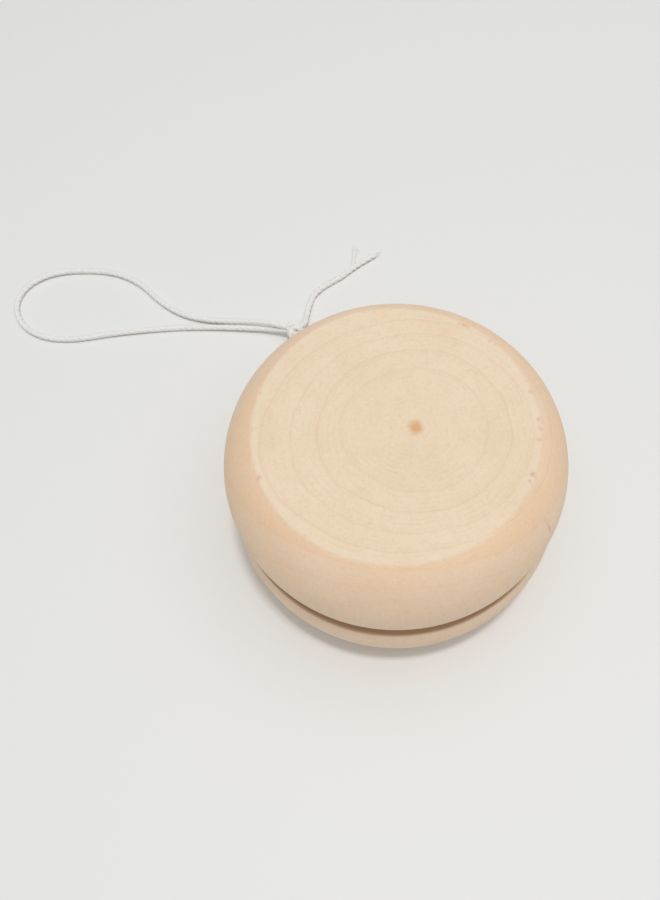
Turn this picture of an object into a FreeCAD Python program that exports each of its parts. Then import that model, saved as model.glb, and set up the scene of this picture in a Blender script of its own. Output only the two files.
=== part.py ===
import FreeCAD, Part
import math
import os

# A wooden string toy: two turned halves glued on one dowel, with a cotton string wound round the dowel.
# The origin is the middle of the lower flat face, +Z runs up the dowel, and all sizes are in millimetres.

# The turned wood
body_radius = 25.0  # the widest place of each half
shoulder_inset = 5.3  # from the widest place in to the corner of the outer flat face
half_thickness = 13.8  # one half, from its inner face to its outer face
widest_from_inner_face = 3.6  # where the half is widest, above its inner face
string_gap = 3.06  # between the two inner faces
face_corner_round = 0.35
rim_corner_round = 0.3

# The dowel
axle_radius = 4.0
axle_seat_depth = 9.0  # how far the dowel goes into each half
axle_end_chamfer = 0.6
bore_clearance = 0.05  # glue film round the dowel, on the radius
bore_end_room = 0.8  # room for glue past each end of the dowel

# The string
string_diameter = 1.1
loop_clearance = 0.08  # the loop round the dowel slips on it, on the radius
winding_side_clearance = 0.15  # between the wound string and each inner face
winding_bite = 0.1  # how far the first turns press into the loop
winding_depth = 7.8  # from the innermost to the outermost string surface
winding_corner_round = 0.5
knot_length = 3.4
knot_radius = 1.75
knot_end_radius = 1.15
arc_share = 0.45  # of the shorter run, taken up by each arc of a cord

face_radius = body_radius - shoulder_inset
gap_bottom = half_thickness
gap_top = half_thickness + string_gap
gap_middle = half_thickness + string_gap / 2
string_radius = string_diameter / 2
bore_radius = axle_radius + bore_clearance
loop_outer_radius = axle_radius + loop_clearance + string_diameter
winding_inner_radius = loop_outer_radius - winding_bite
winding_outer_radius = winding_inner_radius + winding_depth

# The route of the free string, from the winding to its frayed end, as corner points
lead_route = [
    (-13.6, -2.0, 15.3),
    (-13.5, 5.0, 15.3),
    (-12.3, 12.0, 15.3),
    (-10.8, 18.6, 15.3),
    (-10.7, 24.9, 14.8),
    (-10.75, 28.6, 10.2),
    (-10.94, 31.33, 5.5),
    (-12.14, 35.63, 3.4),
]
loop_route = [
    (-13.44, 37.83, 2.0),
    (-16.7, 39.4, 1.1),
    (-21.2, 40.5, 1.0),
    (-26.7, 41.8, 0.6),
    (-32.8, 42.8, 0.6),
    (-39.6, 43.4, 0.6),
    (-47.0, 43.7, 0.6),
    (-54.2, 43.4, 0.6),
    (-60.2, 44.7, 0.6),
    (-64.6, 48.2, 0.6),
    (-66.3, 53.4, 0.6),
    (-63.9, 58.1, 0.6),
    (-58.6, 60.2, 0.6),
    (-52.2, 59.7, 0.6),
    (-46.0, 58.0, 0.6),
    (-41.3, 54.6, 0.6),
    (-37.8, 49.6, 0.6),
    (-33.7, 45.8, 0.6),
    (-28.7, 43.6, 0.7),
    (-23.2, 42.0, 1.5),
    (-17.7, 40.3, 2.4),
    (-12.84, 38.43, 2.7),
]
tail_route = [
    (-11.94, 37.73, 1.8),
    (-11.0, 41.0, 1.3),
    (-9.3, 44.0, 0.7),
    (-8.2, 46.4, 0.6),
    (-5.8, 48.2, 0.6),
    (-2.2, 49.8, 0.6),
    (0.6, 51.9, 0.6),
    (4.7, 53.9, 0.6),
]


def vec(point):
    return FreeCAD.Vector(*point)


def save(name, shape):
    """Writes one piece as a STEP file, with its volume for the log."""
    shape.exportStep(os.path.join("parts", name + ".step"))
    print(f"{name}: {len(shape.Solids)} solid, {shape.Volume:.2f} mm3, valid {shape.isValid()}")


def turned(edges):
    """The solid that a closed outline in the XZ plane makes when it turns about the Z axis."""
    face = Part.Face(Part.Wire(Part.__sortEdges__(edges)))
    return face.revolve(vec((0, 0, 0)), vec((0, 0, 1)), 360)


def half_outline():
    """The outline of one half, inner face at z 0 and outer face up, without its bore."""
    rise = half_thickness - widest_from_inner_face
    shoulder_radius = (shoulder_inset**2 + rise**2) / (2 * shoulder_inset)
    centre = vec((body_radius - shoulder_radius, 0, widest_from_inner_face))

    def on_shoulder(z):
        across = math.sqrt(shoulder_radius**2 - (z - centre.z) ** 2)
        return vec((centre.x + across, 0, z))

    rim = on_shoulder(0)
    widest = vec((body_radius, 0, widest_from_inner_face))
    corner = vec((face_radius, 0, half_thickness))
    axis_low = vec((0, 0, 0))
    axis_high = vec((0, 0, half_thickness))
    return [
        Part.LineSegment(axis_low, rim).toShape(),
        Part.Arc(rim, widest, corner).toShape(),
        Part.LineSegment(corner, axis_high).toShape(),
        Part.LineSegment(axis_high, axis_low).toShape(),
    ]


def circle_edges_at(shape, z, least_radius):
    """The round edges of a turned piece that lie at one height, outside a radius."""
    found = []
    for edge in shape.Edges:
        box = edge.BoundBox
        if abs(box.ZMin - z) < 0.01 and abs(box.ZMax - z) < 0.01 and box.XMax > least_radius:
            found.append(edge)
    return found


def half():
    """One turned half, inner face at z 0, with rounded corners and the blind bore for the dowel."""
    wood = turned(half_outline())
    wood = wood.makeFillet(face_corner_round, circle_edges_at(wood, half_thickness, bore_radius))
    wood = wood.makeFillet(rim_corner_round, circle_edges_at(wood, 0, bore_radius))
    bore = Part.makeCylinder(bore_radius, axle_seat_depth + bore_end_room)
    return wood.cut(bore)


def upper_half():
    piece = half()
    piece.translate(vec((0, 0, gap_top)))
    return piece


def lower_half():
    piece = half()
    piece.rotate(vec((0, 0, 0)), vec((1, 0, 0)), 180)
    piece.translate(vec((0, 0, gap_bottom)))
    return piece


def axle_dowel():
    """The dowel that joins the halves, chamfered at both ends so that it starts easily in its bores."""
    length = string_gap + 2 * axle_seat_depth
    dowel = Part.makeCylinder(axle_radius, length, vec((0, 0, gap_bottom - axle_seat_depth)))
    ends = [edge for edge in dowel.Edges if len(edge.Vertexes) == 1]
    return dowel.makeChamfer(axle_end_chamfer, ends)


def axle_string_loop():
    """The string's slip loop round the dowel, in the middle of the gap."""
    return Part.makeTorus(axle_radius + loop_clearance + string_radius, string_radius, vec((0, 0, gap_middle)))


def string_winding():
    """The outer shape of the wound string: a ring pressed onto the loop, clear of both inner faces."""
    low = gap_bottom + winding_side_clearance
    width = string_gap - 2 * winding_side_clearance
    outside = Part.makeCylinder(winding_outer_radius, width, vec((0, 0, low)))
    rims = circle_edges_at(outside, low, 0) + circle_edges_at(outside, low + width, 0)
    outside = outside.makeFillet(winding_corner_round, rims)
    return outside.cut(Part.makeCylinder(winding_inner_radius, width, vec((0, 0, low))))


def cord_path(name, points):
    """Straight runs joined by tangent arcs. Prints the tightest arc, and returns the wire and its length."""
    corners = [vec(point) for point in points]
    edges = []
    here = corners[0]
    radii = []
    for before, corner, after in zip(corners, corners[1:], corners[2:]):
        back = before - corner
        ahead = after - corner
        reach = arc_share * min(back.Length, ahead.Length)
        half_turn = (math.pi - back.getAngle(ahead)) / 2
        radius = reach / math.tan(half_turn)
        back.normalize()
        ahead.normalize()
        start = corner + back * reach
        end = corner + ahead * reach
        inward = (back + ahead).normalize()
        middle = corner + inward * (radius / math.cos(half_turn) - radius)
        edges.append(Part.LineSegment(here, start).toShape())
        edges.append(Part.Arc(start, middle, end).toShape())
        here = end
        radii.append(radius)
    edges.append(Part.LineSegment(here, corners[-1]).toShape())
    wire = Part.Wire(edges)
    print(f"{name}: length {wire.Length:.1f} mm, arc radii {[round(r, 1) for r in radii]}")
    return wire


def cord_tube(name, points):
    """A round cord along a route. Prints its volume beside section times length."""
    wire = cord_path(name, points)
    start = vec(points[0])
    direction = vec(points[1]) - start
    section = Part.Wire([Part.makeCircle(string_radius, start, direction)])
    tube = wire.makePipeShell([section], True, False)
    expected = math.pi * string_radius**2 * wire.Length
    print(f"{name}: volume {tube.Volume:.2f}, section times length {expected:.2f}")
    return tube


def lead_end():
    """Where the lead meets the knot, and the direction it comes in."""
    end = vec(lead_route[-1])
    direction = end - vec(lead_route[-2])
    return end, direction.normalize()


def loop_knot():
    """The knot that closes the finger loop: a barrel whose first end lies flat against the lead."""
    belly = vec((knot_radius, 0, knot_length / 2))
    low = vec((knot_end_radius, 0, 0))
    high = vec((knot_end_radius, 0, knot_length))
    axis_low = vec((0, 0, 0))
    axis_high = vec((0, 0, knot_length))
    barrel = turned(
        [
            Part.LineSegment(axis_low, low).toShape(),
            Part.Arc(low, belly, high).toShape(),
            Part.LineSegment(high, axis_high).toShape(),
            Part.LineSegment(axis_high, axis_low).toShape(),
        ]
    )
    end, direction = lead_end()
    turn = FreeCAD.Rotation(vec((0, 0, 1)), direction)
    barrel.Placement = FreeCAD.Placement(end, turn)
    return barrel


def main():
    os.makedirs("parts", exist_ok=True)
    save("upper_half", upper_half())
    save("lower_half", lower_half())
    save("axle_dowel", axle_dowel())
    save("axle_string_loop", axle_string_loop())
    save("string_winding", string_winding())
    save("string_lead", cord_tube("string_lead", lead_route))
    save("loop_knot", loop_knot())
    save("finger_loop", cord_tube("finger_loop", loop_route))
    save("string_tail", cord_tube("string_tail", tail_route))


main()
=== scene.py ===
import math
import random

import bmesh
import bpy
from mathutils import Matrix, Vector, noise


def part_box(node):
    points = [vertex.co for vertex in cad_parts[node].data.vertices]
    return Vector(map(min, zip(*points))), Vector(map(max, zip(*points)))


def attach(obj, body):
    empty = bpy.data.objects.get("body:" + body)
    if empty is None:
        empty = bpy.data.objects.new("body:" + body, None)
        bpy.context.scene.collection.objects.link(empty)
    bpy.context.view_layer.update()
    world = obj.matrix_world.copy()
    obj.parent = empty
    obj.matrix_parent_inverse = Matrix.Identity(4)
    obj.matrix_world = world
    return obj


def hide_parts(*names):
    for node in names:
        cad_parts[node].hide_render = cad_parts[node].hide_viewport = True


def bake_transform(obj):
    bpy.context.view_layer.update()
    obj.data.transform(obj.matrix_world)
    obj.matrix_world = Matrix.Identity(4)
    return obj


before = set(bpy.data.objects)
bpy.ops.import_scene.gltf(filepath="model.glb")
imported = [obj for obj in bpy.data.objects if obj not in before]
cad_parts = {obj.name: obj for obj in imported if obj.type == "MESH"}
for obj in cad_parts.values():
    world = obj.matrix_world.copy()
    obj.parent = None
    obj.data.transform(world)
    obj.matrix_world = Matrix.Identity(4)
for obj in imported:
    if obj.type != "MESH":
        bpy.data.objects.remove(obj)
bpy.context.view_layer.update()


# The lower half: a squat knob of pale, close-grained hardwood, turned on a lathe with the grain
# along the axle, so that its flat faces are end grain. It is sanded and left bare. The outer face
# lies on the table, the inner face looks up, and a blind hole in its middle takes the dowel.
body_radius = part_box("lower_half")[1][0]
half_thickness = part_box("lower_half")[1][2]
shoulder_inset = 0.0053
face_radius = body_radius - shoulder_inset
widest_from_inner_face = 0.0036
bore_clearance = 0.00005
bore_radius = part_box("axle_dowel")[1][0] + bore_clearance
bore_depth = 0.0098
corner_round = 0.00035
rim_round = 0.0003
turn_steps = 640


def steps_between(a, b, count):
    """Points from a to b, even steps apart, without a itself."""
    return [Vector(a).lerp(Vector(b), step / count) for step in range(1, count + 1)]


def shoulder_arc(count):
    """The round shoulder, from the outer face's edge to the inner face's, as one circular arc."""
    rise = half_thickness - widest_from_inner_face
    inset = body_radius - face_radius
    radius = (inset**2 + rise**2) / (2 * inset)
    middle = body_radius - radius
    high = math.asin(rise / radius)
    low = math.asin(-widest_from_inner_face / radius)
    angles = [high + (low - high) * step / count for step in range(1, count + 1)]
    return [
        Vector((middle + radius * math.cos(angle), 0, widest_from_inner_face + radius * math.sin(angle)))
        for angle in angles
    ]


def turned_knob():
    """A half as it comes off the lathe, with its inner face at z 0 and its outer face up."""
    centre = Vector((0, 0, half_thickness))
    corner = Vector((face_radius, 0, half_thickness))
    section = [centre]
    section += steps_between(centre, centre.lerp(corner, 0.85), 10)
    section += steps_between(section[-1], corner - Vector((0.0004, 0, 0)), 14)
    section.append(corner)
    shoulder = shoulder_arc(38)
    section += shoulder
    rim = shoulder[-1]
    section += steps_between(rim, (bore_radius, 0, 0), 8)
    section += steps_between(section[-1], (bore_radius, 0, bore_depth), 3)
    section.append(Vector((0, 0, bore_depth)))

    knob = bmesh.new()
    made = [knob.verts.new(point) for point in section]
    for a, b in zip(made, made[1:]):
        knob.edges.new((a, b))
    for point, size in ((corner, corner_round), (rim, rim_round)):
        bmesh.ops.bevel(
            knob,
            geom=[made[section.index(point)]],
            offset=size,
            segments=4,
            profile=0.5,
            affect="VERTICES",
            material=-1,
        )
    bmesh.ops.spin(
        knob,
        geom=knob.verts[:] + knob.edges[:],
        cent=(0, 0, 0),
        axis=(0, 0, 1),
        angle=math.tau,
        steps=turn_steps,
        use_merge=True,
    )
    bmesh.ops.remove_doubles(knob, verts=knob.verts, dist=0.000001)
    bmesh.ops.recalc_face_normals(knob, faces=knob.faces)
    return knob


def peak(value, middle, width):
    """1 at the middle, falling smoothly to 0 at the width on either side. Angles in degrees."""
    away = abs((value - middle + 180) % 360 - 180) / width
    return (1 - away * away) ** 2 if away < 1 else 0.0


def wear_outer_corner(knob, nicks, marks, seed):
    """Nicks and roughs up the corner of the outer face. Notes at each point how far it is end grain,
    torn, frayed, marked with a red streak of the grain, or part of the inner face."""
    end_grain = knob.verts.layers.float.new("end_grain")
    torn = knob.verts.layers.float.new("torn")
    frayed = knob.verts.layers.float.new("frayed")
    marked = knob.verts.layers.float.new("marked")
    inner = knob.verts.layers.float.new("inner")
    own_place = Vector((7.31, 3.77, 1.93)) * seed
    reach = 0.0016
    fully_torn = 0.00014
    for vertex in knob.verts:
        across = math.hypot(vertex.co.x, vertex.co.y)
        drop = half_thickness - vertex.co.z
        angle = math.degrees(math.atan2(vertex.co.y, vertex.co.x))
        vertex[end_grain] = max(0.0, 1 - min(drop, vertex.co.z) / 0.0003)
        # how far a point is on the inner face, where the material paints the gap's shade
        vertex[inner] = max(0.0, 1 - vertex.co.z / 0.0004)
        for middle, width, lowest, tall in marks:
            up = 1 - abs(drop - lowest) / tall
            vertex[marked] = max(vertex[marked], peak(angle, middle, width) * max(0.0, up) ** 0.5)
        away = math.hypot(across - face_radius, drop)
        if away > reach or across < 0.001:
            continue
        near = 1 - away / reach
        rough = noise.fractal(vertex.co * 2100 + own_place, 0.7, 2.1, 4)
        depth = max(0.0, rough) * 0.00009 * near**2
        for middle, width, deep in nicks:
            depth += peak(angle, middle, width) * deep * near**4 * max(0.0, 1 + 1.3 * rough)
        inward = Vector((-vertex.co.x / across, -vertex.co.y / across, -1.3)).normalized()
        vertex.co += inward * depth
        vertex[torn] = min(1.0, depth / fully_torn) ** 2
        vertex[frayed] = near**2 * vertex[end_grain]


def colour(red, green, blue):
    """A colour as a screen shows it, 0 to 255, turned into the light values that a shader takes."""
    shares = [value / 255 for value in (red, green, blue)]
    light = [s / 12.92 if s <= 0.04045 else ((s + 0.055) / 1.055) ** 2.4 for s in shares]
    return (*light, 1.0)


def add_node(tree, kind, inputs=None, **settings):
    """A shader node with its settings, and a number, colour or link for each input that is named."""
    made = tree.nodes.new(kind)
    for setting, value in settings.items():
        setattr(made, setting, value)
    for name, value in (inputs or {}).items():
        if isinstance(value, bpy.types.NodeSocket):
            tree.links.new(value, made.inputs[name])
        else:
            made.inputs[name].default_value = value
    return made


def calculate(tree, operation, *values):
    return add_node(tree, "ShaderNodeMath", dict(enumerate(values)), operation=operation).outputs[0]


def ramp(tree, value, start, end, low=0.0, high=1.0):
    """low up to the start and high from the end, with a smooth rise between them."""
    inputs = {"Value": value, "From Min": start, "From Max": end, "To Min": low, "To Max": high}
    return add_node(tree, "ShaderNodeMapRange", inputs, interpolation_type="SMOOTHSTEP").outputs[0]


def mix_colours(tree, share, first, second):
    """The first colour where the share is 0, and the second where it is 1."""
    return add_node(tree, "ShaderNodeMix", {0: share, 6: first, 7: second}, data_type="RGBA").outputs[2]


def growth_ring_group():
    """Solid wood whose grain runs along z: growth rings round a pith, which show as circles on the
    end grain and as arches on a shoulder, with pores, fibres, a soft mottle and the lathe's marks."""
    group = bpy.data.node_groups.new("growth_rings", "ShaderNodeTree")
    for name in ("Pith X", "Pith Y", "Drift X", "Drift Y", "Flat", "Ring Width", "Seed"):
        group.interface.new_socket(name, in_out="INPUT", socket_type="NodeSocketFloat")
    masks = ("Ring", "Ring Radius", "Ripple", "Pith", "Mottle", "Blotch", "Pore", "Fibre", "Fuzz", "Lathe")
    for name in masks:
        group.interface.new_socket(name, in_out="OUTPUT", socket_type="NodeSocketFloat")
    given = add_node(group, "NodeGroupInput").outputs
    result = add_node(group, "NodeGroupOutput").inputs
    place = add_node(group, "ShaderNodeTexCoord").outputs["Object"]
    x, y, z = add_node(group, "ShaderNodeSeparateXYZ", {0: place}).outputs

    def calc(operation, *values):
        return calculate(group, operation, *values)

    def stretched(along):
        """The place, with its height scaled so that a pattern is drawn out along the grain."""
        scaled = {0: place, 1: (1, 1, along)}
        return add_node(group, "ShaderNodeVectorMath", scaled, operation="MULTIPLY").outputs[0]

    def cloud(scale, detail, vector, offset, roughness=0.5):
        inputs = {
            "Vector": vector,
            "W": calc("ADD", given["Seed"], offset),
            "Scale": scale,
            "Detail": detail,
            "Roughness": roughness,
        }
        return add_node(group, "ShaderNodeTexNoise", inputs, noise_dimensions="4D").outputs["Fac"]

    def length(a, b):
        return calc("SQRT", calc("ADD", calc("MULTIPLY", a, a), calc("MULTIPLY", b, b)))

    # the rings lie round the pith near it, and further out they drift off to one side and flatten
    from_pith_x = calc("SUBTRACT", x, given["Pith X"])
    from_pith_y = calc("SUBTRACT", y, given["Pith Y"])
    from_pith = length(from_pith_x, from_pith_y)
    outward = calc("POWER", calc("DIVIDE", from_pith, 0.024), 3.0)
    ring_x = calc("SUBTRACT", from_pith_x, calc("MULTIPLY", given["Drift X"], outward))
    ring_y = calc("SUBTRACT", from_pith_y, calc("MULTIPLY", given["Drift Y"], outward))
    ring_y = calc("MULTIPLY", ring_y, calc("MULTIPLY_ADD", given["Flat"], outward, 1.0))
    wander = calc("MULTIPLY", calc("SUBTRACT", cloud(90.0, 3.0, stretched(0.6), 1.0), 0.5), 0.0024)
    radius = calc("ADD", length(ring_x, ring_y), wander)
    group.links.new(radius, result["Ring Radius"])

    # each year's wood darkens slowly to a thin late line, then the next year starts pale
    years = calc("DIVIDE", radius, given["Ring Width"])
    part = calc("FRACT", years)
    late = calc("ADD", calc("POWER", part, 20.0), calc("MULTIPLY", calc("POWER", part, 3.0), 0.2))
    year = calc("ADD", calc("FLOOR", years), given["Seed"])
    by_year = add_node(group, "ShaderNodeTexWhiteNoise", {"W": year}, noise_dimensions="1D")
    strength = by_year.outputs["Value"]
    uneven = calc("ADD", cloud(240.0, 2.0, place, 2.0), 0.25)
    ring = calc("MULTIPLY", calc("MULTIPLY", late, uneven), ramp(group, strength, 0.1, 1.0, 0.15, 1.0))
    group.links.new(ring, result["Ring"])
    ripple_spacing = 0.00082
    wave = calc("SINE", calc("MULTIPLY", radius, math.tau / ripple_spacing))
    wave = calc("MULTIPLY_ADD", wave, 0.5, 0.5)
    patches = ramp(group, cloud(330.0, 3.0, place, 3.0), 0.4, 0.65)
    group.links.new(calc("MULTIPLY", calc("POWER", wave, 3.0), patches), result["Ripple"])

    ragged = calc("MULTIPLY", calc("SUBTRACT", cloud(1100.0, 3.0, place, 4.0), 0.5), 0.0009)
    group.links.new(ramp(group, calc("ADD", from_pith, ragged), 0.0016, 0.0003), result["Pith"])
    group.links.new(cloud(95.0, 3.0, place, 5.0), result["Mottle"])
    group.links.new(cloud(430.0, 4.0, stretched(0.4), 6.0, 0.6), result["Blotch"])
    pore = ramp(group, cloud(4300.0, 1.0, stretched(0.07), 7.0), 0.62, 0.74)
    group.links.new(pore, result["Pore"])
    group.links.new(cloud(1900.0, 3.0, stretched(0.06), 8.0, 0.6), result["Fibre"])
    group.links.new(cloud(2600.0, 4.0, place, 9.0, 0.7), result["Fuzz"])
    # the sandpaper was held against the turning wood, so its scratches run round the axle
    round_axle = add_node(group, "ShaderNodeCombineXYZ", {0: length(x, y), 1: z}).outputs[0]
    group.links.new(cloud(5200.0, 2.0, round_axle, 10.0), result["Lathe"])
    return group


growth_rings = growth_ring_group()


def bare_hardwood(name, pith, drift, flat, seed, warm_rings):
    """Bare sanded hardwood: cream on the end grain, rosier and smoother on the shoulder, with painted
    shade darkening the inner face.
    """
    material = bpy.data.materials.new(name)
    material.use_nodes = True
    tree = material.node_tree
    shader = tree.nodes["Principled BSDF"]
    values = {
        "Pith X": pith[0],
        "Pith Y": pith[1],
        "Drift X": drift[0],
        "Drift Y": drift[1],
        "Flat": flat,
        "Ring Width": 0.0033,
        "Seed": seed,
    }
    wood = add_node(tree, "ShaderNodeGroup", node_tree=growth_rings)
    for socket, value in values.items():
        wood.inputs[socket].default_value = value
    grain = wood.outputs
    cut_across = add_node(tree, "ShaderNodeAttribute", attribute_name="end_grain").outputs["Fac"]
    torn = add_node(tree, "ShaderNodeAttribute", attribute_name="torn").outputs["Fac"]
    frayed = add_node(tree, "ShaderNodeAttribute", attribute_name="frayed").outputs["Fac"]
    marked = add_node(tree, "ShaderNodeAttribute", attribute_name="marked").outputs["Fac"]
    inner = add_node(tree, "ShaderNodeAttribute", attribute_name="inner").outputs["Fac"]

    def share(value, most):
        return calculate(tree, "MULTIPLY", value, most)

    mottle = ramp(tree, grain["Mottle"], 0.3, 0.7)
    blotch = share(ramp(tree, grain["Blotch"], 0.45, 0.7), 0.22)
    fuzz = share(ramp(tree, grain["Fuzz"], 0.3, 0.75), 0.16)
    fibre = share(ramp(tree, grain["Fibre"], 0.45, 0.75), 0.14)
    face = mix_colours(tree, mottle, colour(236, 215, 186), colour(240, 220, 192))
    face = mix_colours(tree, blotch, face, colour(234, 206, 171))
    start, end = warm_rings
    warm = calculate(
        tree,
        "MULTIPLY",
        ramp(tree, grain["Ring Radius"], start - 0.001, start + 0.001),
        ramp(tree, grain["Ring Radius"], end + 0.0011, end - 0.0002),
    )
    side = mix_colours(tree, mottle, colour(244, 214, 183), colour(247, 220, 192))
    side = mix_colours(tree, share(warm, 0.6), side, colour(248, 212, 174))
    shown = mix_colours(tree, cut_across, side, face)
    shown = mix_colours(tree, share(grain["Ring"], 0.3), shown, colour(206, 164, 118))
    ripple = calculate(tree, "MULTIPLY", grain["Ripple"], ramp(tree, cut_across, 0.0, 1.0, 0.04, 0.1))
    shown = mix_colours(tree, ripple, shown, colour(208, 172, 134))
    shown = mix_colours(tree, fuzz, shown, colour(214, 180, 142))
    shown = mix_colours(tree, fibre, shown, colour(210, 170, 130))
    shown = mix_colours(tree, share(grain["Pore"], 0.1), shown, colour(172, 128, 88))
    loose = calculate(tree, "MULTIPLY", frayed, ramp(tree, grain["Fuzz"], 0.35, 0.6))
    shown = mix_colours(tree, share(loose, 0.32), shown, colour(243, 233, 214))
    shown = mix_colours(tree, share(torn, 0.3), shown, colour(198, 142, 100))
    shown = mix_colours(tree, share(grain["Pith"], 0.95), shown, colour(222, 172, 125))
    streak = calculate(tree, "MULTIPLY", marked, ramp(tree, grain["Fibre"], 0.3, 0.6))
    shown = mix_colours(tree, share(streak, 0.6), shown, colour(214, 150, 116))
    # painted shade: the inner faces lie in the shade of the narrow string gap, and their colour is
    # darkened to stand for it
    shown = mix_colours(tree, share(inner, 0.72), shown, colour(190, 147, 104))
    tree.links.new(shown, shader.inputs["Base Color"])
    tree.links.new(ramp(tree, cut_across, 0.0, 1.0, 0.5, 0.85), shader.inputs["Roughness"])
    shader.inputs["Specular IOR Level"].default_value = 0.3

    fuzzy = calculate(tree, "MULTIPLY", grain["Fuzz"], ramp(tree, cut_across, 0.0, 1.0, 0.15, 1.0))
    height = calculate(tree, "MULTIPLY_ADD", grain["Lathe"], 0.35, fuzzy)
    height = calculate(tree, "SUBTRACT", height, share(grain["Pore"], 0.5))
    bump = add_node(tree, "ShaderNodeBump", {"Strength": 0.55, "Distance": 0.00006, "Height": height})
    tree.links.new(bump.outputs["Normal"], shader.inputs["Normal"])
    return material


def finished_half(name, node, place, nicks, marks, seed, material):
    knob = turned_knob()
    wear_outer_corner(knob, nicks, marks, seed)
    bmesh.ops.transform(knob, matrix=place, verts=knob.verts)
    mesh = bpy.data.meshes.new(name)
    knob.to_mesh(mesh)
    knob.free()
    mesh.shade_smooth()
    mesh.materials.append(material)
    half = bpy.data.objects.new(name, mesh)
    bpy.context.scene.collection.objects.link(half)
    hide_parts(node)
    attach(half, "wood")


# the angle round the axle, the half width in degrees and the depth of each nick in the corner
lower_nicks = [
    (20, 2.0, 0.0002),
    (95, 1.5, 0.00016),
    (-75, 1.2, 0.0002),
    (170, 2.5, 0.00014),
    (-140, 1.0, 0.0002),
]
lower_wood = bare_hardwood(
    "bare_hardwood_lower",
    pith=(-0.0041, 0.0062),
    drift=(0.001, -0.002),
    flat=0.1,
    seed=23.0,
    warm_rings=(0.0165, 0.0198),
)
finished_half(
    "lower_turned_half",
    "lower_half",
    Matrix.Translation((0, 0, half_thickness)) @ Matrix.Rotation(math.pi, 4, "X"),
    lower_nicks,
    [(60, 0.7, 0.0049, 0.0014)],
    2,
    lower_wood,
)


# The axle: a short length of pale wooden dowel with chamfered ends, glued into both halves.
# It holds them a string's width apart and is what the string's loop runs on.
string_gap = 0.00306
gap_middle = half_thickness + string_gap / 2


def straight_dowel_wood():
    """Rod wood: straight grain, cut far from the pith, polished a little where the string runs."""
    material = bpy.data.materials.new("straight_dowel_wood")
    material.use_nodes = True
    tree = material.node_tree
    shader = tree.nodes["Principled BSDF"]
    wood = add_node(tree, "ShaderNodeGroup", node_tree=growth_rings)
    for socket, value in {"Pith X": 0.021, "Pith Y": -0.017, "Ring Width": 0.0011, "Seed": 41.0}.items():
        wood.inputs[socket].default_value = value
    grain = wood.outputs
    place = add_node(tree, "ShaderNodeTexCoord").outputs["Object"]
    z = add_node(tree, "ShaderNodeSeparateXYZ", {0: place}).outputs[2]
    from_gap = calculate(tree, "ABSOLUTE", calculate(tree, "SUBTRACT", z, gap_middle))
    rubbed = ramp(tree, from_gap, 0.0015, 0.0006)

    def share(value, most):
        return calculate(tree, "MULTIPLY", value, most)

    shown = mix_colours(tree, grain["Mottle"], colour(228, 200, 160), colour(236, 212, 176))
    shown = mix_colours(tree, share(grain["Ring"], 0.6), shown, colour(196, 152, 104))
    fibre = share(ramp(tree, grain["Fibre"], 0.45, 0.7), 0.3)
    shown = mix_colours(tree, fibre, shown, colour(196, 156, 112))
    shown = mix_colours(tree, share(rubbed, 0.35), shown, colour(188, 150, 112))
    tree.links.new(shown, shader.inputs["Base Color"])
    tree.links.new(ramp(tree, rubbed, 0.0, 1.0, 0.7, 0.42), shader.inputs["Roughness"])
    relief = {"Strength": 0.5, "Distance": 0.00005, "Height": grain["Fibre"]}
    bump = add_node(tree, "ShaderNodeBump", relief)
    tree.links.new(bump.outputs["Normal"], shader.inputs["Normal"])
    return material


dowel_wood = straight_dowel_wood()
for dowel_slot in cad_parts["axle_dowel"].material_slots:
    dowel_slot.material = dowel_wood


# The string's loop on the axle: white cotton string, three plies twisted together, 1.1 mm thick.
# Its inner end is opened into a loop that sits round the dowel without gripping it.
string_diameter = 0.0011
ply_count = 3
ply_thickness = 0.7 * string_diameter
ply_offset = (string_diameter - ply_thickness) / 2
twist_length = 0.0036
axle_loop_radius = 0.00463


def evenly_spaced(line, step):
    """The same line with its points an even step apart."""
    total = sum((b - a).length for a, b in zip(line, line[1:]))
    count = max(2, round(total / step))
    spaced = [line[0].copy()]
    run = 0.0
    for a, b in zip(line, line[1:]):
        length = (b - a).length
        while len(spaced) < count and run + length >= total * len(spaced) / count:
            share = (total * len(spaced) / count - run) / length
            spaced.append(a.lerp(b, share))
        run += length
    spaced.append(line[-1].copy())
    return spaced


def directions_across(line):
    """Two directions across the line at each of its points, carried along it without a twist."""
    along = [(b - a).normalized() for a, b in zip(line, line[1:])]
    along.append(along[-1])
    side = along[0].orthogonal().normalized()
    pairs = []
    for direction in along:
        side = (side - direction * side.dot(direction)).normalized()
        pairs.append((side.copy(), direction.cross(side)))
    return pairs


def plies_along(line, step, offset=ply_offset):
    """The lines of the plies, which wind round the string's own line."""
    middle = evenly_spaced(line, step)
    plies = []
    for ply in range(ply_count):
        strand = []
        for index, (point, (side, up)) in enumerate(zip(middle, directions_across(middle))):
            angle = math.tau * (ply / ply_count + index * step / twist_length)
            strand.append(point + (side * math.cos(angle) + up * math.sin(angle)) * offset)
        plies.append(strand)
    return plies


def round_threads(name, lines, thickness, fineness, closed=False):
    """One mesh of round threads, a tube along each line, with closed ends unless it is a ring."""
    curve = bpy.data.curves.new(name, "CURVE")
    curve.dimensions = "3D"
    curve.bevel_depth = thickness / 2
    curve.bevel_resolution = fineness
    curve.use_fill_caps = True
    for line in lines:
        spline = curve.splines.new("POLY")
        spline.points.add(len(line) - 1)
        for point, place in zip(spline.points, line):
            point.co = (*place, 1)
        spline.use_cyclic_u = closed
    threads = bpy.data.objects.new(name, curve)
    mesh = bpy.data.meshes.new_from_object(threads)
    bpy.data.curves.remove(curve)
    mesh.name = name
    return mesh


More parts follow.
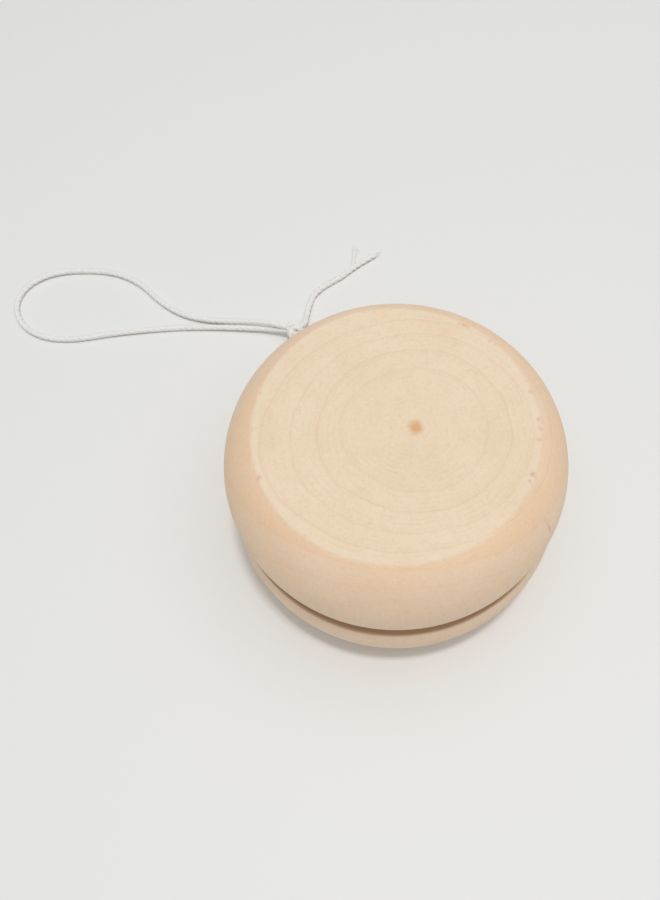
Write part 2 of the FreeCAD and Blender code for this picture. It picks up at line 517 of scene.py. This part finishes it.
def bleached_cotton():
    """Bleached cotton: off-white, a little warmer where the fibres crowd together."""
    material = bpy.data.materials.new("bleached_cotton")
    material.use_nodes = True
    tree = material.node_tree
    shader = tree.nodes["Principled BSDF"]
    place = add_node(tree, "ShaderNodeTexCoord").outputs["Object"]

    def cloud(scale, detail):
        inputs = {"Vector": place, "Scale": scale, "Detail": detail}
        return add_node(tree, "ShaderNodeTexNoise", inputs).outputs["Fac"]

    fibre = cloud(6500.0, 3.0)
    patch = cloud(420.0, 2.0)
    shown = mix_colours(tree, ramp(tree, fibre, 0.3, 0.7), colour(234, 233, 230), colour(245, 244, 242))
    shown = mix_colours(tree, ramp(tree, patch, 0.45, 0.8, 0.0, 0.3), shown, colour(234, 230, 220))
    bump = add_node(tree, "ShaderNodeBump", {"Strength": 0.4, "Distance": 0.00005, "Height": fibre})
    tree.links.new(shown, shader.inputs["Base Color"])
    tree.links.new(bump.outputs["Normal"], shader.inputs["Normal"])
    shader.inputs["Roughness"].default_value = 0.95
    shader.inputs["Sheen Weight"].default_value = 0.5
    shader.inputs["Sheen Roughness"].default_value = 0.5
    return material


cotton = bleached_cotton()


def cotton_piece(name, meshes):
    """One piece of cotton from these meshes, which it takes over."""
    whole = bmesh.new()
    for mesh in meshes:
        whole.from_mesh(mesh)
        bpy.data.meshes.remove(mesh)
    joined = bpy.data.meshes.new(name)
    whole.to_mesh(joined)
    whole.free()
    joined.shade_smooth()
    joined.materials.append(cotton)
    piece = bpy.data.objects.new(name, joined)
    bpy.context.scene.collection.objects.link(piece)
    return piece


def axle_ring():
    """The lines of the plies round the dowel, closed on themselves with a whole number of twists."""
    count = 180
    twists = round(math.tau * axle_loop_radius / twist_length)
    plies = []
    for ply in range(ply_count):
        strand = []
        for index in range(count):
            angle = math.tau * index / count
            twist = math.tau * (ply / ply_count + twists * index / count)
            radius = axle_loop_radius + ply_offset * math.cos(twist)
            height = gap_middle + ply_offset * math.sin(twist)
            strand.append(Vector((radius * math.cos(angle), radius * math.sin(angle), height)))
        plies.append(strand)
    return plies


axle_loop_plies = round_threads("axle_loop", axle_ring(), ply_thickness, 2, closed=True)
axle_loop = cotton_piece("axle_loop", [axle_loop_plies])
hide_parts("axle_string_loop")
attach(axle_loop, "wound_string")


# The upper half: the same turned knob, the other way up, pressed and glued on the dowel's top end.
# Its end grain shows the pith off centre and a ring of nicks where the tool left the corner.
gap_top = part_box("upper_half")[0][2]
upper_nicks = [
    (50.5, 3.4, 0.0003),
    (37, 0.9, 0.00016),
    (13, 1.0, 0.0002),
    (7.75, 1.2, 0.00026),
    (-5, 1.2, 0.00022),
    (-9, 0.9, 0.0002),
    (-14, 1.3, 0.00024),
    (-29.75, 1.4, 0.00034),
    (-33, 0.8, 0.0002),
    (-135, 1.0, 0.00012),
    (-166, 1.6, 0.00016),
    (172, 1.2, 0.00018),
    (155, 1.0, 0.00014),
]
upper_wood = bare_hardwood(
    "bare_hardwood_upper",
    pith=(0.0029, -0.0005),
    drift=(-0.0026, -0.0001),
    flat=0.26,
    seed=169.0,
    warm_rings=(0.0198, 0.0231),
)
finished_half(
    "upper_turned_half",
    "upper_half",
    Matrix.Translation((0, 0, gap_top)),
    upper_nicks,
    [(-39, 0.85, 0.0057, 0.0019)],
    1,
    upper_wood,
)


# The winding: most of the string, wound round the axle loop inside the gap in fifteen turns.
# Layers of two turns and of one turn take it in turns, so that each settles between the last two.
leaving_route = [
    (-0.0036, -0.0123, 0.0153),
    (-0.0072, -0.0114, 0.0153),
    (-0.0104, -0.0094, 0.0153),
    (-0.0126, -0.0067, 0.0153),
    (-0.0135, -0.0042, 0.0153),
    (-0.0136, -0.0020, 0.0153),
]


def ease(share):
    """0 to 1 with a smooth start and end."""
    return share * share * (3 - 2 * share)


def winding_points():
    """The winding's line, from the loop on the axle out to where the string leaves the gap."""
    first_radius = axle_loop_radius + 0.001
    layer_rise = 0.000744
    side_step = 0.00083
    seats = [(axle_loop_radius, 0.0)]
    for layer in range(10):
        radius = first_radius + layer * layer_rise
        seats += [(radius, -side_step), (radius, side_step)] if layer % 2 == 0 else [(radius, 0.0)]
    per_turn = 40
    turns = 14.75
    points = []
    for index in range(round(per_turn * turns) + 1):
        turn = index / per_turn
        before, seat = seats[int(turn)], seats[int(turn) + 1]
        share = ease(min(1.0, (turn % 1) / 0.2))
        radius = before[0] + (seat[0] - before[0]) * share
        side = before[1] + (seat[1] - before[1]) * share
        angle = math.pi - math.tau * turn
        points.append(Vector((radius * math.cos(angle), radius * math.sin(angle), gap_middle + side)))
    return points + [Vector(point) for point in leaving_route]


def smooth_line(points):
    """The points along one smooth curve that has these points as its control points."""
    curve = bpy.data.curves.new("route", "CURVE")
    curve.dimensions = "3D"
    curve.resolution_u = 16
    spline = curve.splines.new("NURBS")
    spline.points.add(len(points) - 1)
    for point, place in zip(spline.points, points):
        point.co = (*place, 1)
    spline.order_u = 3
    spline.use_endpoint_u = True
    route = bpy.data.objects.new("route", curve)
    mesh = bpy.data.meshes.new_from_object(route)
    line = [vertex.co.copy() for vertex in mesh.vertices]
    bpy.data.meshes.remove(mesh)
    bpy.data.curves.remove(curve)
    return line


wound_line = smooth_line(winding_points())
winding_step = 0.00042
winding_plies = round_threads("winding", plies_along(wound_line, winding_step), ply_thickness, 1)
winding = cotton_piece("winding", [winding_plies])
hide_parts("string_winding")
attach(winding, "wound_string")


# The drawn string: the last of the winding comes out of the gap at the back and runs to the knot.
lead_route = [
    (-0.0136, -0.0020, 0.0153),
    (-0.0135, 0.0050, 0.0153),
    (-0.0123, 0.0120, 0.0153),
    (-0.0108, 0.0186, 0.0153),
    (-0.0107, 0.0249, 0.0148),
    (-0.01075, 0.0286, 0.0102),
    (-0.01094, 0.03133, 0.0055),
    (-0.01214, 0.03563, 0.0034),
]
free_string_step = 0.00022
fibre_thickness = 0.00002
chance = random.Random(11)


def stray_fibres(line, count):
    """Short fibres that stand off the string, as they do on soft cotton."""
    middle = evenly_spaced(line, 0.0004)
    pairs = directions_across(middle)
    hairs = []
    for _ in range(count):
        index = chance.randrange(len(middle))
        side, up = pairs[index]
        angle = chance.uniform(0, math.tau)
        out = side * math.cos(angle) + up * math.sin(angle)
        ahead = side.cross(up) * chance.choice((-1, 1))
        reach = chance.uniform(0.00015, 0.0006)
        run = chance.uniform(0.0004, 0.0014)
        root = middle[index] + out * string_diameter * 0.42
        hair = [root, root + out * reach * 0.6 + ahead * run * 0.5, root + out * reach + ahead * run]
        if min(point.z for point in hair) > 0.00003:
            hairs.append(hair)
    return hairs


def free_string(name, nodes, route, fibres):
    """A stretch of the free string along its route, which stands for the plain CAD ones."""
    line = smooth_line(route)
    plies = round_threads(name, plies_along(line, free_string_step), ply_thickness, 1)
    hairs = round_threads(name + "_hairs", stray_fibres(line, fibres), fibre_thickness, 0)
    piece = cotton_piece(name, [plies, hairs])
    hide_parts(*nodes)
    return piece, line


drawn_string, drawn_line = free_string("drawn_string", ["string_lead"], lead_route, 50)
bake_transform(drawn_string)


# The knot: where the string is doubled back for the finger loop, both strands are tied together
# in one tight overhand knot. The finger loop leaves it on one side, and the short tail beside it.
knot_route = [
    (0.00025, 0.0000, -0.0004),
    (0.00030, 0.0001, 0.0008),
    (0.00040, 0.0001, 0.0019),
    (0.00090, 0.0004, 0.0027),
    (0.00060, 0.0011, 0.0029),
    (-0.00060, 0.0012, 0.0024),
    (-0.00120, 0.0001, 0.0019),
    (-0.00070, -0.0011, 0.0014),
    (0.00050, -0.0012, 0.0010),
    (0.00120, -0.0002, 0.0008),
    (0.00080, 0.0009, 0.0010),
    (-0.00020, 0.0006, 0.0016),
    (-0.00030, 0.0001, 0.0026),
    (-0.00030, -0.0001, 0.0037),
]


def tied_knot():
    """Two strands on the same knotted route, half a turn apart round the knot's own axis."""
    end = Vector(lead_route[-1])
    direction = (end - Vector(lead_route[-2])).normalized()
    place = Matrix.Translation(end) @ direction.to_track_quat("Z", "Y").to_matrix().to_4x4()
    lines = []
    for turn in (0.0, math.pi):
        turned = place @ Matrix.Rotation(turn, 4, "Z")
        strand = smooth_line([turned @ Vector(point) for point in knot_route])
        lines += plies_along(strand, 0.00015, ply_offset * 0.85)
    return cotton_piece("tied_knot", [round_threads("tied_knot", lines, ply_thickness * 0.95, 2)])


knot = tied_knot()
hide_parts("loop_knot")
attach(knot, "string_end")


# The finger loop and the tail: one length of the same string. It leaves the knot, lies on the table
# in one long loop, goes back beside itself through the knot, and ends in a short tail, cut and left.
loop_route = [
    (-0.01344, 0.03783, 0.0020),
    (-0.0167, 0.0394, 0.0011),
    (-0.0212, 0.0405, 0.0010),
    (-0.0267, 0.0418, 0.0006),
    (-0.0328, 0.0428, 0.0006),
    (-0.0396, 0.0434, 0.0006),
    (-0.0470, 0.0437, 0.0006),
    (-0.0542, 0.0434, 0.0006),
    (-0.0602, 0.0447, 0.0006),
    (-0.0646, 0.0482, 0.0006),
    (-0.0663, 0.0534, 0.0006),
    (-0.0639, 0.0581, 0.0006),
    (-0.0586, 0.0602, 0.0006),
    (-0.0522, 0.0597, 0.0006),
    (-0.0460, 0.0580, 0.0006),
    (-0.0413, 0.0546, 0.0006),
    (-0.0378, 0.0496, 0.0006),
    (-0.0337, 0.0458, 0.0006),
    (-0.0287, 0.0436, 0.0007),
    (-0.0232, 0.0420, 0.0015),
    (-0.0177, 0.0403, 0.0024),
    (-0.0133, 0.0380, 0.0027),
]
tail_route = [
    (-0.0106, 0.0387, 0.0020),
    (-0.0101, 0.0414, 0.0011),
    (-0.0093, 0.0440, 0.0007),
    (-0.0082, 0.0464, 0.0006),
    (-0.0058, 0.0482, 0.0006),
    (-0.0022, 0.0498, 0.0006),
    (0.0006, 0.0519, 0.0006),
    (0.0047, 0.0539, 0.0006),
]
loop_and_tail, end_line = free_string(
    "loop_and_tail",
    ["finger_loop", "string_tail"],
    loop_route + tail_route,
    240,
)
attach(loop_and_tail, "string_end")


# The opened end: the last few millimetres of the tail have come apart into plies and loose fibres.
# The string was cut there and neither knotted nor sealed, so one ply has come away from the rest.
loose_ply_route = [
    (-0.0008, 0.0508, 0.0006),
    (0.0002, 0.0519, 0.0006),
    (0.0005, 0.0538, 0.0005),
    (0.0010, 0.0557, 0.0005),
]


def frayed_end():
    """A ply that has come away from the end, and the loose fibres at its tip and the string's."""
    ply = smooth_line(loose_ply_route)
    lines = []
    for tip, before in ((ply[-1], ply[-4]), (Vector(tail_route[-1]), Vector(tail_route[-2]))):
        ahead = (tip - before).normalized()
        for _ in range(14):
            root = tip - ahead * chance.uniform(0.0002, 0.0008)
            spread = Vector((chance.uniform(-1, 1), chance.uniform(-1, 1), chance.uniform(-0.2, 0.3)))
            end = root + (ahead + spread * 0.5) * chance.uniform(0.0006, 0.0015)
            end.z = max(end.z, 0.00006)
            lines.append([root, root.lerp(end, 0.5) + spread * 0.0001, end])
    thread = round_threads("loose_ply", [ply], ply_thickness * 0.8, 2)
    hairs = round_threads("loose_fibres", lines, 0.00006, 0)
    return [thread, hairs]


opened_end = cotton_piece("opened_end", frayed_end())
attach(opened_end, "string_end")


# The table under the toy: one plain pale surface, far wider than the toy.
# The light is soft: some from all round, some from a wide lamp overhead, and some from a small one
# beside it, which draws the edge of the shadow close under the toy.
def pale_table():
    table = bmesh.new()
    bmesh.ops.create_grid(table, x_segments=1, y_segments=1, size=4.0)
    mesh = bpy.data.meshes.new("table")
    table.to_mesh(mesh)
    table.free()
    material = bpy.data.materials.new("pale_table")
    material.use_nodes = True
    shader = material.node_tree.nodes["Principled BSDF"]
    shader.inputs["Base Color"].default_value = colour(234, 234, 232)
    shader.inputs["Roughness"].default_value = 0.6
    mesh.materials.append(material)
    piece = bpy.data.objects.new("table", mesh)
    bpy.context.scene.collection.objects.link(piece)


def soft_lamp(name, place, size, energy):
    """A round lamp behind white cloth, which shines on the toy."""
    data = bpy.data.lights.new(name, "AREA")
    data.shape = "DISK"
    data.size = size
    data.energy = energy
    data.color = (1.0, 1.0, 0.995)
    lamp = bpy.data.objects.new(name, data)
    bpy.context.scene.collection.objects.link(lamp)
    lamp.location = place
    lamp.rotation_euler = (-Vector(place)).to_track_quat("-Z", "Y").to_euler()


def light_all_round():
    world = bpy.data.worlds.new("light_all_round")
    world.use_nodes = True
    background = world.node_tree.nodes["Background"]
    background.inputs["Color"].default_value = (0.985, 0.995, 1.0, 1.0)
    background.inputs["Strength"].default_value = 0.405
    bpy.context.scene.world = world
    bpy.context.scene.view_settings.view_transform = "Standard"


pale_table()
soft_lamp("wide_lamp", (0.08, -0.02, 0.8), 1.0, 2.1)
soft_lamp("lamp_overhead", (0.04, -0.075, 0.8), 0.08, 2.0)
light_all_round()


# The camera looks down on the toy from close by, a little to its left and slightly rolled.
# It is a plain perspective camera with everything in focus.
def close_camera():
    data = bpy.data.cameras.new("close_camera")
    data.lens = 34.9
    data.clip_start = 0.005
    data.dof.use_dof = False
    camera = bpy.data.objects.new("close_camera", data)
    bpy.context.scene.collection.objects.link(camera)
    tilt = math.radians(90 - 63.3)
    roll = math.radians(-7.7)
    camera.matrix_world = (
        Matrix.Translation((-0.0091, -0.0553, 0.1363))
        @ Matrix.Rotation(tilt, 4, "X")
        @ Matrix.Rotation(roll, 4, "Z")
    )
    bpy.context.scene.camera = camera


close_camera()
